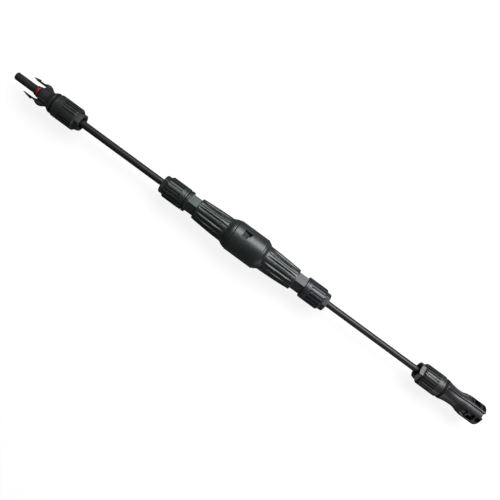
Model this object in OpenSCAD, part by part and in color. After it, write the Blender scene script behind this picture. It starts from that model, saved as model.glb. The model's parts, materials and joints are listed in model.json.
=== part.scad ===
// In-line fuse cable for a solar string: a two-part fuse holder in the middle, a short
// cable on each side, a socket coupler on the -X end and a pin coupler on the +X end.
// Millimetres. X runs along the cable, the origin is at the middle of the holder's collar,
// and +Z points away from the surface the cable lies on.

/* [Cable] */
// Outside diameter of the cable sheath
cable_d = 5.6; // [5.2:0.1:5.8]
// Diameter over the inner insulation
insulation_d = 4.0; // [3.6:0.1:4.2]
// Diameter of the stranded conductor
conductor_d = 2.6; // [2.2:0.1:2.8]
// Cable showing between the socket coupler and the holder
left_cable_len = 80.4; // [70:0.1:240]
// Cable showing between the holder and the pin coupler
right_cable_len = 90; // [70:0.1:240]
// Bend that each of a cable's two flex points reaches, in degrees
cable_bend = 25; // [10:1:25]

/* [Holder] */
// Diameter of the smooth collar
collar_d = 27; // [26.6:0.1:30]
// Length of the collar
collar_len = 27.2; // [26.8:0.1:29]
// Largest diameter of the fluted barrels
barrel_d = 21.5; // [21:0.1:22]
// Diameter of the barrels at the hexagon neck
barrel_end_d = 18.3; // [18:0.1:19]
// Number of flutes around each barrel
flute_count = 16; // [12:1:18]
// Across flats of the hexagon necks
neck_flats = 14.8; // [14:0.1:15]
// Length of the latch window
window_len = 6.8; // [6.4:0.1:6.8]
// Width of the latch window
window_w = 6.8; // [6.2:0.1:7]
// Angle of the latch window from the top, in degrees
window_angle = 28; // [0:1:90]

/* [Fuse] */
// Diameter of the fuse's end caps
fuse_d = 10.3; // [10:0.1:10.3]
// Length of the fuse
fuse_len = 85; // [84:0.1:85]
// Length of each end cap
fuse_cap_len = 11.5; // [10:0.1:12]

/* [Gland nuts] */
// Outside diameter of the holder's nuts and the pin coupler's nut
nut_d = 18.6; // [18.4:0.1:19]
// Length of the holder's nuts and the pin coupler's nut
nut_len = 22.4; // [22:0.1:24]
// Outside diameter of the socket coupler's nut
socket_nut_d = 19.2; // [18.6:0.1:20]
// Length of the socket coupler's nut
socket_nut_len = 24.6; // [23.5:0.1:26]
// Grip grooves around each holder nut
holder_nut_grooves = 18; // [12:1:20]
// Grip grooves around each coupler nut
coupler_nut_grooves = 24; // [12:1:26]
// Across flats of the nuts' hexagon end
nut_flats = 13.6; // [13.2:0.1:14.4]

/* [Couplers] */
// Roll of the socket coupler about the cable, in degrees
socket_roll = -6; // [-180:1:180]
// Roll of the pin coupler about the cable, in degrees
pin_roll = 10; // [-180:1:180]
// Outside diameter of the socket coupler's probe
probe_d = 6.6; // [6.4:0.1:6.8]
// Reach of the probe in front of the socket coupler's shoulder
probe_reach = 25; // [24.5:0.1:25.5]
// Diameter of the contact pin
pin_d = 4; // [3.9:0.1:4]
// Width of each locking finger's squeeze pad
pad_w = 7; // [6:0.1:7.4]
// Distance across the two squeeze pads
pad_d = 19; // [18.6:0.1:19.2]
// Diameter of the pin coupler's head
head_d = 18.2; // [17.8:0.1:18.4]

/* [Hidden] */

$fn = 64;
eps = 0.01;
slide_gap = 0.05;

// Gland, measured along the cable from the nut's front edge (u = 0) to its mouth
spigot_r = 7.6;
spigot_len = 10;
pocket_r = 6;
pocket_floor = 1.3;
mouth_r = 5;
collet_tip = 17;
claw_count = 8;
nut_bore_r = spigot_r + 0.06;
holder_nut_band = 4.6;
coupler_nut_band = 6;
nut_hex_len = 3.9;
groove_depth = 0.8;

// Cable layers
sheath_r = cable_d / 2;
insulation_r = insulation_d / 2;
conductor_r = conductor_d / 2;
flex_gap = 0.05;
flex_setback = sheath_r * tan(cable_bend) + 0.1;
sheath_inset = 1;
strip_inset = 3;
crimp_inset = 10;

// Stations along X, away from the holder's middle
socket_gland_x = 57.3;
plug_gland_x = 59.7;
holder_mouth_x = socket_gland_x + nut_len;
plug_mouth_x = plug_gland_x + nut_len;
pin_coupler_x = holder_mouth_x + right_cable_len + nut_len;
socket_coupler_x = plug_mouth_x + left_cable_len + socket_nut_len;

// Holder
collar_r = collar_d / 2;
joint_x = -13;
collar_end = joint_x + collar_len;
cavity_r = 10.75;
cavity_end = 12.8;
clip_bore_r = 6.5;
clip_bore_end = 45;
wire_bore_r = 3.2;
barrel_start = 19;
barrel_end = 48;
plug_neck_end = 56.5;
plug_ring_end = 58.8;
plug_ring_r = nut_d / 2 - 0.15;
flute_r = 1.3;
window_start = -6.35;
plug_spigot_r = cavity_r - slide_gap - 0.1;
plug_spigot_end = 12.4;
o_ring_x = 6.3;
o_ring_r = 0.7;
tongue_root = -12.6;
tongue_tip = -1.8;
tongue_mid_r = 9.65;
tongue_t = 1.3;
tongue_w = 5.6;
tongue_knuckle_r = 0.8;
hook_start = -6.1;
hook_top_r = 11.5;

// Fuse and its clips
fuse_r = fuse_d / 2;
fuse_end = fuse_len / 2;
fuse_cap_start = fuse_end - fuse_cap_len;
fuse_tube_r = fuse_r - 0.35;
fuse_bore_r = 3.5;
clip_start = 32;
clip_base = fuse_end + 0.5;
clip_t = 0.8;
clip_inner_r = fuse_r + slide_gap;
clip_outer_r = clip_inner_r + clip_t;
crimp_r = 2.5;
element_w = 3;
element_t = 0.2;
element_holes = 6;

// Couplers, measured from the nut's front edge towards the coupler's mating end (v)
ring_end = 1.3;
gland_ring_r = 8.8;
flange_r = 9.2;
waist_v = 6.7;
waist_r = 6.9;
shoulder_v = 15.1;
core_r = 5.3;
core_v = 16.9;
core_flat_y = 4.2;
probe_r = probe_d / 2;
probe_tip_v = shoulder_v + probe_reach;
o_ring_v = 17.85;
o_ring_section = 0.9;
nose_v = [18.85, 20.2, 21.6];
nose_r = 4.1;
pad_r = pad_d / 2;
pad_peak_v = 13.5;
pad_front_v = 18.2;
finger_root_v = 7.4;
finger_root_y = 5.9;
finger_knuckle_r = 0.7;
finger_inner_y = 5.6;
prong_w = 5.6;
prong_inner_y = 6.6;
prong_outer_y = 7.6;
barb_v = 21.3;
barb_y = 8.4;
barb_w = 0.8;
finger_tip_v = 27.3;
contact_flange_v = 12;
contact_bore_r = pin_d / 2 + 0.02;
contact_outer_r = 2.55;
head_r = head_d / 2;
head_start = 26;
head_end = 39.1;
pin_waist_v = [14.5, 16];
pin_waist_r = 6.7;
pin_front_bore = 2;
pin_seal_bore = 7;
seal_bore_r = 4.75;
pin_cavity_r = probe_r + 0.2;
pin_cavity_floor = head_end - probe_reach - 0.3;
recess_v = [22, 25.6];
window_v = [27.2, 33];
pocket_v = [34.6, 38.4];
window_turn = 48;
opening_w = 7.2;
opening_floor = 6.4;
recess_floor = 7.7;
channel_w = prong_w + 0.4;
channel_inner_y = 6;
channel_outer_y = 7.9;
keyway_w = 4.2;
keyway_floor = 7.9;
notch_len = 1.6;

// A half cosine step from a to b while t runs from 0 to 1
function eased(a, b, t) = a + (b - a) * (1 - cos(180 * t)) / 2;

// Outline points [radius, station] eased between two stations
function ease_points(r1, x1, r2, x2, n) =
  [for (i = [0:n]) [eased(r1, r2, i / n), x1 + (x2 - x1) * i / n]];

// Radius of the convex barrel from its wide end (t = 0) to its neck end (t = 1)
function barrel_r(t) = barrel_d / 2 - (barrel_d - barrel_end_d) / 2 * pow(t, 1.7);

module turned(points) {
  rotate([0, 90, 0])
    rotate_extrude()
      polygon(points);
}

module rod(r, x1, x2) {
  translate([x1, 0, 0])
    rotate([0, 90, 0])
      cylinder(r = r, h = x2 - x1);
}

module tube(r_out, r_in, x1, x2) {
  difference() {
    rod(r_out, x1, x2);
    rod(r_in, x1 - eps, x2 + eps);
  }
}

// A hexagonal bar with a corner facing +Z
module hex_bar(flats, x1, x2) {
  translate([x1, 0, 0])
    rotate([0, 90, 0])
      cylinder(r = flats / sqrt(3), h = x2 - x1, $fn = 6);
}

module torus(ring_r, section_r, x) {
  translate([x, 0, 0])
    rotate([0, 90, 0])
      rotate_extrude()
        translate([ring_r, 0])
          circle(r = section_r);
}

// Box that spans x1 to x2, is w wide across Y, and reaches from z1 to z2
module block(x1, x2, w, z1, z2) {
  translate([x1, -w / 2, z1])
    cube([x2 - x1, w, z2 - z1]);
}

module at_plug_side() {
  rotate([0, 0, 180])
    children();
}

module at_pin_coupler() {
  translate([pin_coupler_x, 0, 0])
    rotate([-pin_roll, 0, 0])
      children();
}

module at_socket_coupler() {
  translate([-socket_coupler_x, 0, 0])
    rotate([socket_roll, 0, 180])
      children();
}

module at_holder_gland() {
  translate([socket_gland_x, 0, 0])
    children();
}

module at_plug_gland() {
  translate([-plug_gland_x, 0, 0])
    rotate([0, 0, 180])
      children();
}

module at_pin_gland() {
  translate([pin_coupler_x, 0, 0])
    rotate([0, 0, 180])
      children();
}

module at_socket_gland() {
  translate([-socket_coupler_x, 0, 0])
    children();
}

// ---- Cable gland parts, shared by all four glands ----

// hex_turn is 0 for a hexagon corner facing +Z and 30 for a flat facing +Z
module gland_nut(d, len, band, grooves, hex_turn) {
  rib_end = len - nut_hex_len;
  nut_r = d / 2;
  difference() {
    union() {
      turned([
        [0, 0], [nut_r - 0.5, 0], [nut_r, 0.5], [nut_r, rib_end - 0.9],
        [nut_r - 0.9, rib_end], [0, rib_end]
      ]);
      rotate([hex_turn, 0, 0])
        hex_bar(nut_flats, rib_end - 1, len);
    }
    turned([
      [0, -eps], [nut_bore_r, -eps], [nut_bore_r, spigot_len + 0.6], [pocket_r + 0.15, spigot_len + 0.6],
      [pocket_r - 0.65, collet_tip + 0.2], [mouth_r - 0.6, collet_tip + 0.2],
      [mouth_r - 0.6, len - 1.5], [mouth_r + 0.5, len + eps], [0, len + eps]
    ]);
    for (i = [0:grooves - 1])
      rotate([i * 360 / grooves, 0, 0])
        block(band, rib_end + eps, PI * d / grooves * 0.42, nut_r - groove_depth, nut_r + 1);
  }
}

module gland_collet() {
  difference() {
    turned([
      [sheath_r + 0.3, pocket_floor + 0.3], [pocket_r - 0.1, pocket_floor + 0.3], [pocket_r - 0.1, spigot_len + 0.6],
      [pocket_r - 0.8, collet_tip], [pocket_r - 1.6, collet_tip], [pocket_r - 1.6, collet_tip - 1],
      [pocket_r - 1.05, collet_tip - 1.2], [pocket_r - 1.05, 4], [sheath_r + 0.3, 4]
    ]);
    for (i = [0:claw_count / 2 - 1])
      rotate([i * 360 / claw_count, 0, 0])
        block(4.6, collet_tip + 1, 0.9, -pocket_r - 1, pocket_r + 1);
  }
}

module gland_seal() {
  tube(pocket_r - 1.1, sheath_r + 0.02, 4.1, collet_tip - 1.4);
}

// ---- Cable ----

// One stretch of a cable layer. It starts with a hollow that turns on the dome before it, or
// with a square end, and it finishes with a dome or a square end.
module layer(r_out, r_in, x1, x2, hollow_start, domed_end) {
  start = hollow_start ? x1 + flex_setback : x1;
  difference() {
    union() {
      rod(r_out, start, x2);
      if (domed_end)
        translate([x2, 0, 0])
          sphere(r = r_out);
    }
    if (r_in > 0)
      union() {
        rod(r_in, start - 1, domed_end ? x2 : x2 + 1);
        if (domed_end)
          translate([x2, 0, 0])
            sphere(r = r_in);
      }
    if (hollow_start)
      translate([x1, 0, 0])
        sphere(r = sheath_r + flex_gap);
  }
}

module near_stretch(r_out, r_in, gland_x, inset, mouth_x, len) {
  layer(r_out, r_in, gland_x + inset, mouth_x + len / 3, false, true);
}

module mid_stretch(r_out, r_in, mouth_x, len) {
  layer(r_out, r_in, mouth_x + len / 3, mouth_x + len * 2 / 3, true, true);
}

module far_stretch(r_out, r_in, mouth_x, len, coupler_x, inset) {
  layer(r_out, r_in, mouth_x + len * 2 / 3, coupler_x - inset, true, false);
}

module left_sheath_near() {
  color("#26282a") at_plug_side()
    near_stretch(sheath_r, insulation_r, plug_gland_x, sheath_inset, plug_mouth_x, left_cable_len);
}

module left_sheath_mid() {
  color("#26282a") at_plug_side()
    mid_stretch(sheath_r, insulation_r, plug_mouth_x, left_cable_len);
}

module left_sheath_far() {
  color("#26282a") at_plug_side()
    far_stretch(sheath_r, insulation_r, plug_mouth_x, left_cable_len, socket_coupler_x, sheath_inset);
}

module left_insulation_near() {
  color("#d8d8d0") at_plug_side()
    near_stretch(insulation_r, conductor_r, plug_gland_x, -strip_inset, plug_mouth_x, left_cable_len);
}

module left_insulation_mid() {
  color("#d8d8d0") at_plug_side()
    mid_stretch(insulation_r, conductor_r, plug_mouth_x, left_cable_len);
}

module left_insulation_far() {
  color("#d8d8d0") at_plug_side()
    far_stretch(insulation_r, conductor_r, plug_mouth_x, left_cable_len, socket_coupler_x, -strip_inset);
}

module left_conductor_near() {
  color("#c8c4bc") at_plug_side()
    near_stretch(conductor_r, 0, plug_gland_x, -crimp_inset, plug_mouth_x, left_cable_len);
}

module left_conductor_mid() {
  color("#c8c4bc") at_plug_side()
    mid_stretch(conductor_r, 0, plug_mouth_x, left_cable_len);
}

module left_conductor_far() {
  color("#c8c4bc") at_plug_side()
    far_stretch(conductor_r, 0, plug_mouth_x, left_cable_len, socket_coupler_x, -crimp_inset);
}

module right_sheath_near() {
  color("#26282a")
    near_stretch(sheath_r, insulation_r, socket_gland_x, sheath_inset, holder_mouth_x, right_cable_len);
}

module right_sheath_mid() {
  color("#26282a")
    mid_stretch(sheath_r, insulation_r, holder_mouth_x, right_cable_len);
}

module right_sheath_far() {
  color("#26282a")
    far_stretch(sheath_r, insulation_r, holder_mouth_x, right_cable_len, pin_coupler_x, sheath_inset);
}

module right_insulation_near() {
  color("#d8d8d0")
    near_stretch(insulation_r, conductor_r, socket_gland_x, -strip_inset, holder_mouth_x, right_cable_len);
}

module right_insulation_mid() {
  color("#d8d8d0")
    mid_stretch(insulation_r, conductor_r, holder_mouth_x, right_cable_len);
}

module right_insulation_far() {
  color("#d8d8d0")
    far_stretch(insulation_r, conductor_r, holder_mouth_x, right_cable_len, pin_coupler_x, -strip_inset);
}

module right_conductor_near() {
  color("#c8c4bc")
    near_stretch(conductor_r, 0, socket_gland_x, -crimp_inset, holder_mouth_x, right_cable_len);
}

module right_conductor_mid() {
  color("#c8c4bc")
    mid_stretch(conductor_r, 0, holder_mouth_x, right_cable_len);
}

module right_conductor_far() {
  color("#c8c4bc")
    far_stretch(conductor_r, 0, holder_mouth_x, right_cable_len, pin_coupler_x, -crimp_inset);
}

// ---- Fuse holder ----

// Straight grooves parallel to the chord of the convex barrel: each cuts deepest half way
// along and runs out to a point at both ends
module flutes() {
  r_wide = barrel_r(0) - 0.25;
  r_neck = barrel_r(1) - 0.05;
  len = barrel_end - barrel_start;
  tilt = atan((r_wide - r_neck) / len);
  for (i = [0:flute_count - 1])
    rotate([(i + 0.5) * 360 / flute_count, 0, 0])
      translate([barrel_start, 0, r_wide + flute_r])
        rotate([0, 90 + tilt, 0])
          cylinder(r = flute_r, h = len + 2);
}

// The bore that holds a clip and, behind it, the cable's crimp
module contact_bore() {
  rod(clip_bore_r, -20, clip_bore_end);
  rod(wire_bore_r, 0, 62);
}

module socket_half_body() {
  points = concat(
    [[0, joint_x], [collar_r, joint_x], [collar_r, collar_end]],
    ease_points(collar_r - 0.6, collar_end + 0.4, barrel_d / 2, barrel_start, 5),
    [for (i = [1:6]) [barrel_r(i / 6), barrel_start + (barrel_end - barrel_start) * i / 6]],
    [[0, barrel_end]]
  );
  color("#2b3033") difference() {
    union() {
      difference() {
        turned(points);
        flutes();
      }
      hex_bar(neck_flats, barrel_end - 1, socket_gland_x - 0.4);
      rod(spigot_r, socket_gland_x - 0.4, socket_gland_x + spigot_len);
    }
    rod(cavity_r, joint_x - 1, cavity_end);
    contact_bore();
    rod(pocket_r, socket_gland_x + pocket_floor, socket_gland_x + spigot_len + 1);
    for (side = [0, 180])
      rotate([side - window_angle, 0, 0])
        block(window_start, window_start + window_len, window_w, cavity_r - 2, collar_r + 1);
  }
}

// Slot around a latch tongue, with room under it for the tongue to be pressed
module tongue_slot() {
  block(tongue_root, tongue_tip + 0.5, tongue_w + 0.5, 7, plug_spigot_r + 1);
  translate([tongue_root, 0, tongue_mid_r])
    rotate([90, 0, 0])
      cylinder(r = tongue_knuckle_r + slide_gap, h = tongue_w + 0.5, center = true);
}

module plug_half_body() {
  flange_x = -joint_x + 0.2;
  points = concat(
    [[0, flange_x], [collar_r - 0.4, flange_x], [collar_r - 0.4, flange_x + 1.1]],
    ease_points(collar_r - 0.7, flange_x + 1.3, barrel_d / 2, barrel_start + 1, 5),
    [for (i = [1:6]) [barrel_r(i / 6), barrel_start + 1 + (barrel_end - barrel_start - 1) * i / 6]],
    [[0, barrel_end]]
  );
  color("#2b3230") difference() {
    union() {
      at_plug_side() {
        difference() {
          turned(points);
          flutes();
        }
        hex_bar(neck_flats, barrel_end - 1, plug_neck_end + 1);
        rod(plug_ring_r, plug_neck_end, plug_ring_end);
        rod(spigot_r, plug_ring_end - 1, plug_gland_x + spigot_len);
      }
      rod(plug_spigot_r, -flange_x - 1, plug_spigot_end);
    }
    tube(plug_spigot_r + 1, plug_spigot_r - 1.3, o_ring_x - 1, o_ring_x + 1);
    at_plug_side()
      contact_bore();
    at_plug_side()
      rod(pocket_r, plug_gland_x + pocket_floor, plug_gland_x + spigot_len + 1);
    for (side = [0, 180])
      rotate([side - window_angle, 0, 0])
        tongue_slot();
  }
}

module holder_o_ring() {
  color("#141414")
    torus(plug_spigot_r - 1.3 + o_ring_r + 0.02, o_ring_r, o_ring_x);
}

// A spring tongue with a ramped hook at its free end; it is pressed in about its root
module latch_tongue() {
  z1 = tongue_mid_r - tongue_t / 2;
  z2 = tongue_mid_r + tongue_t / 2;
  translate([0, tongue_w / 2, 0])
    rotate([90, 0, 0])
      linear_extrude(tongue_w)
        polygon([
          [tongue_root, z1], [tongue_tip, z1], [tongue_tip, z2],
          [hook_start + 0.8, hook_top_r], [hook_start, hook_top_r], [hook_start, z2], [tongue_root, z2]
        ]);
  translate([tongue_root, 0, tongue_mid_r])
    rotate([90, 0, 0])
      cylinder(r = tongue_knuckle_r, h = tongue_w, center = true);
}

module latch_tongue_upper() {
  color("#3a4240") rotate([-window_angle, 0, 0])
    latch_tongue();
}

module latch_tongue_lower() {
  color("#3a4240") rotate([180 - window_angle, 0, 0])
    latch_tongue();
}

// ---- Fuse and clips ----

module fuse_tube() {
  color("#f0eee6") difference() {
    union() {
      rod(fuse_tube_r, -fuse_cap_start + 0.1, fuse_cap_start - 0.1);
      rod(fuse_tube_r - 0.4, -fuse_end + 2, fuse_end - 2);
    }
    rod(fuse_bore_r, -fuse_end, fuse_end);
  }
}

module fuse_cap() {
  difference() {
    rod(fuse_r, fuse_cap_start, fuse_end);
    rod(fuse_tube_r - 0.38, fuse_cap_start - 1, fuse_end - 1);
  }
}

module fuse_cap_plug_side() {
  color("#c9c9c4") at_plug_side()
    fuse_cap();
}

module fuse_cap_socket_side() {
  color("#c9c9c4")
    fuse_cap();
}

module fuse_element() {
  pitch = fuse_len / (element_holes + 1);
  color("#d5d6d8") difference() {
    block(-fuse_end + 1.05, fuse_end - 1.05, element_w, -element_t / 2, element_t / 2);
    for (i = [1:element_holes])
      translate([-fuse_end + i * pitch, 0, -1])
        cylinder(r = 1.1, h = 2);
  }
}

module fuse_sand() {
  color("#e4dcc4") difference() {
    rod(fuse_bore_r - 0.02, -fuse_end + 2, fuse_end - 2);
    block(-fuse_end, fuse_end, element_w + 0.04, -element_t / 2 - 0.02, element_t / 2 + 0.02);
  }
}

module fuse_clip() {
  difference() {
    union() {
      tube(clip_outer_r, clip_inner_r, clip_start, clip_base);
      rod(clip_outer_r, clip_base, clip_base + 0.9);
      rod(crimp_r, clip_base, socket_gland_x - strip_inset - 0.1);
    }
    rod(conductor_r + 0.02, clip_base + 1.5, socket_gland_x);
    for (i = [0:1])
      rotate([i * 90, 0, 0])
        block(clip_start - 1, clip_base - 1.5, 0.8, -8, 8);
  }
}

module fuse_clip_plug_side() {
  color("#c4b89a") at_plug_side()
    fuse_clip();
}

module fuse_clip_socket_side() {
  color("#c4b89a")
    fuse_clip();
}

module clip_spring() {
  difference() {
    tube(clip_outer_r + 0.3, clip_outer_r + 0.01, clip_start + 1, clip_start + 3.5);
    block(clip_start, clip_start + 5, 1.6, 0, 8);
  }
}

module clip_spring_plug_side() {
  color("#9aa0a4") at_plug_side()
    clip_spring();
}

module clip_spring_socket_side() {
  color("#9aa0a4")
    clip_spring();
}

module holder_gland_collet() {
  color("#1d1f20") at_holder_gland()
    gland_collet();
}

module holder_gland_seal() {
  color("#141516") at_holder_gland()
    gland_seal();
}

module holder_gland_nut() {
  color("#2c2f34") at_holder_gland()
    gland_nut(nut_d, nut_len, holder_nut_band, holder_nut_grooves, 30);
}

module plug_gland_collet() {
  color("#1d1f20") at_plug_gland()
    gland_collet();
}

module plug_gland_seal() {
  color("#141516") at_plug_gland()
    gland_seal();
}

module plug_gland_nut() {
  color("#2b3230") at_plug_gland()
    gland_nut(nut_d, nut_len, holder_nut_band, holder_nut_grooves, 30);
}

// ---- Socket coupler ----

module finger_clearance() {
  block(finger_root_v, shoulder_v + 8, pad_w + 0.6, core_flat_y, flange_r + 1);
  translate([finger_root_v, 0, finger_root_y])
    rotate([90, 0, 0])
      cylinder(r = finger_knuckle_r + slide_gap, h = pad_w + 0.6, center = true);
}

module socket_coupler_shape() {
  turned(concat(
    [[0, ring_end], [flange_r, ring_end]],
    ease_points(flange_r, ring_end + 0.4, waist_r, waist_v, 5),
    [[waist_r, shoulder_v], [core_r, shoulder_v], [core_r, core_v], [probe_r, core_v]],
    [[probe_r, nose_v[0]], [nose_r, nose_v[0]], [nose_r, nose_v[1]], [probe_r, nose_v[2]]],
    [[probe_r, probe_tip_v - 0.4], [probe_r - 0.4, probe_tip_v], [0, probe_tip_v]]
  ));
}

module socket_coupler_body() {
  color("#26282a") at_socket_coupler() difference() {
    union() {
      difference() {
        socket_coupler_shape();
        for (side = [90, -90])
          rotate([side, 0, 0])
            finger_clearance();
      }
      rod(spigot_r, -spigot_len, ring_end + 1);
    }
    rod(contact_outer_r + slide_gap, 5, probe_tip_v - 0.8);
    rod(contact_bore_r + 0.3, probe_tip_v - 2, probe_tip_v + 1);
    rod(wire_bore_r - 0.1, -pocket_floor - 1, shoulder_v - 2);
    rod(pocket_r, -spigot_len - 1, -pocket_floor);
  }
}

// A locking finger along +X with its pad bulging towards +Y and a barb at each edge of its tip
module locking_finger() {
  linear_extrude(pad_w, center = true)
    polygon(concat(
      [[finger_root_v, finger_root_y - 0.4], [finger_root_v, finger_root_y + 0.6]],
      [
        for (i = [0:5])
          let (t = i / 5)
            [finger_root_v + 0.7 + (pad_peak_v - finger_root_v - 0.7) * t, eased(waist_r, pad_r, t)]
      ],
      [
        for (i = [1:5])
          let (t = i / 5)
            [pad_peak_v + (pad_front_v - pad_peak_v) * t, pad_r - (pad_r - prong_outer_y) * t * t]
      ],
      [[pad_front_v, prong_inner_y], [16, prong_inner_y - 0.3], [14.5, finger_inner_y], [9, finger_inner_y]]
    ));
  linear_extrude(prong_w, center = true)
    polygon([
      [16, prong_inner_y], [16, prong_outer_y], [barb_v + 2.6, prong_outer_y],
      [finger_tip_v, prong_inner_y + 0.8], [finger_tip_v, prong_inner_y + 0.3], [finger_tip_v - 1, prong_inner_y]
    ]);
  for (z = [-prong_w / 2, prong_w / 2 - barb_w])
    translate([0, 0, z])
      linear_extrude(barb_w)
        polygon([
          [barb_v, prong_outer_y - 0.2], [barb_v, barb_y], [barb_v + 1, barb_y],
          [finger_tip_v - 0.6, prong_outer_y - 0.2]
        ]);
  translate([finger_root_v, finger_root_y, 0])
    cylinder(r = finger_knuckle_r, h = pad_w, center = true);
}

module locking_finger_left() {
  color("#1f2123") at_socket_coupler()
    rotate([180, 0, 0])
      locking_finger();
}

module locking_finger_right() {
  color("#1f2123") at_socket_coupler()
    locking_finger();
}

module probe_o_ring() {
  color("#c8342f") at_socket_coupler()
    torus(probe_r + o_ring_section + 0.02, o_ring_section, o_ring_v);
}

module socket_contact() {
  color("#c8c2b0") at_socket_coupler() difference() {
    union() {
      rod(contact_outer_r, shoulder_v - 1, probe_tip_v - 1);
      rod(crimp_r, strip_inset + 0.1, shoulder_v);
    }
    rod(contact_bore_r, 17, probe_tip_v);
    rod(contact_bore_r + 0.2, 26, 34);
    rod(conductor_r + 0.02, 0, crimp_inset + 0.5);
  }
}

module contact_spring_band() {
  color("#b08a4a") at_socket_coupler()
    tube(contact_bore_r + 0.19, contact_bore_r + 0.01, 26.1, 33.9);
}

module gland_ring() {
  tube(gland_ring_r, spigot_r + 0.02, 0.05, ring_end - 0.05);
}

module socket_gland_ring() {
  color("#0d0d0e") at_socket_coupler()
    gland_ring();
}

module socket_gland_collet() {
  color("#1d1f20") at_socket_gland()
    gland_collet();
}

module socket_gland_seal() {
  color("#141516") at_socket_gland()
    gland_seal();
}

module socket_gland_nut() {
  color("#2c2d2f") at_socket_gland()
    gland_nut(socket_nut_d, socket_nut_len, coupler_nut_band, coupler_nut_grooves, 0);
}

// ---- Pin coupler ----

// Channel inside the side wall for one locking finger; it is taller beside the windows,
// where the finger's barbs catch behind the strap
module finger_way() {
  block(window_v[0] - 1, head_end + 1, channel_w, channel_inner_y, channel_outer_y);
  block(window_v[0] - 1, window_v[1], channel_w, channel_inner_y, barb_y + 0.05);
}

// One row of openings beside the keyway: a shallow recess, a window and a pocket
module side_openings() {
  block(recess_v[0], recess_v[1], opening_w, recess_floor, head_r + 1);
  block(window_v[0], window_v[1], opening_w, opening_floor, head_r + 1);
  block(pocket_v[0], pocket_v[1], opening_w, opening_floor, head_r + 1);
}

module keyway() {
  block(head_start - 6, head_end + 1, keyway_w, keyway_floor, head_r + 1);
  block(head_end - notch_len, head_end + 1, keyway_w, core_r - 1, head_r + 1);
}

// Outline that falls quickly from the ring to the waist and swells again to the head
function pin_outline() = concat(
  [for (i = [0:5]) [pin_waist_r + (gland_ring_r - pin_waist_r) * pow(1 - i / 5, 2),
                    ring_end + 0.4 + (pin_waist_v[0] - ring_end - 0.4) * i / 5]],
  ease_points(pin_waist_r, pin_waist_v[1], head_r, head_start, 6)
);

module pin_coupler_body() {
  lip = 1.4;
  color("#2a2b2f") at_pin_coupler() difference() {
    union() {
      turned(concat(
        [[0, ring_end], [gland_ring_r, ring_end]],
        pin_outline(),
        [for (i = [0:3]) [head_r - lip * (1 - cos(i * 25)), head_end - lip + lip * sin(i * 25)]],
        [[head_r - lip, head_end], [0, head_end]]
      ));
      rod(spigot_r, -spigot_len, ring_end + 1);
    }
    rod(pocket_r, -spigot_len - 1, -pocket_floor);
    rod(wire_bore_r, -pocket_floor - 1, contact_flange_v);
    rod(pin_d / 2 + 0.4, contact_flange_v - 1, pin_cavity_floor + 1);
    rod(pin_cavity_r, pin_cavity_floor, head_end);
    rod(seal_bore_r, head_end - pin_seal_bore, head_end);
    rod(core_r + 0.1, head_end - pin_front_bore, head_end + 1);
    for (side = [90, -90])
      rotate([side, 0, 0])
        finger_way();
    for (side = [0, 180])
      rotate([side, 0, 0])
        keyway();
    for (turn = [-window_turn, window_turn])
      rotate([turn, 0, 0])
        side_openings();
  }
}

module pin_contact() {
  tip_v = head_end - pin_seal_bore - 0.2;
  color("#c8c2b0") at_pin_coupler() difference() {
    union() {
      rod(pin_d / 2, contact_flange_v - 1, tip_v - 1.2);
      turned([[0, tip_v - 1.2 - eps], [pin_d / 2, tip_v - 1.2 - eps], [pin_d / 2 - 1, tip_v], [0, tip_v]]);
      rod(pin_d / 2 + 0.3, contact_flange_v - 1, pin_cavity_floor);
      rod(crimp_r, strip_inset + 0.1, contact_flange_v - 0.1);
    }
    rod(conductor_r + 0.02, 0, crimp_inset + 0.5);
  }
}

module pin_gland_ring() {
  color("#0d0d0e") at_pin_coupler()
    gland_ring();
}

module pin_gland_collet() {
  color("#1d1f20") at_pin_gland()
    gland_collet();
}

module pin_gland_seal() {
  color("#141516") at_pin_gland()
    gland_seal();
}

module pin_gland_nut() {
  color("#2c2e30") at_pin_gland()
    gland_nut(nut_d, nut_len, coupler_nut_band, coupler_nut_grooves, 0);
}

socket_half_body();
plug_half_body();
holder_o_ring();
latch_tongue_upper();
latch_tongue_lower();
fuse_tube();
fuse_cap_plug_side();
fuse_cap_socket_side();
fuse_element();
fuse_sand();
fuse_clip_plug_side();
fuse_clip_socket_side();
clip_spring_plug_side();
clip_spring_socket_side();
plug_gland_collet();
plug_gland_seal();
plug_gland_nut();
holder_gland_collet();
holder_gland_seal();
holder_gland_nut();
left_sheath_near();
left_sheath_mid();
left_sheath_far();
left_insulation_near();
left_insulation_mid();
left_insulation_far();
left_conductor_near();
left_conductor_mid();
left_conductor_far();
right_sheath_near();
right_sheath_mid();
right_sheath_far();
right_insulation_near();
right_insulation_mid();
right_insulation_far();
right_conductor_near();
right_conductor_mid();
right_conductor_far();
socket_coupler_body();
locking_finger_left();
locking_finger_right();
probe_o_ring();
socket_contact();
contact_spring_band();
socket_gland_ring();
socket_gland_collet();
socket_gland_seal();
socket_gland_nut();
pin_coupler_body();
pin_contact();
pin_gland_ring();
pin_gland_collet();
pin_gland_seal();
pin_gland_nut();
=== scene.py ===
import json
import math

import bmesh
import bpy
import numpy as np
from mathutils import Matrix, Vector


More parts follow.
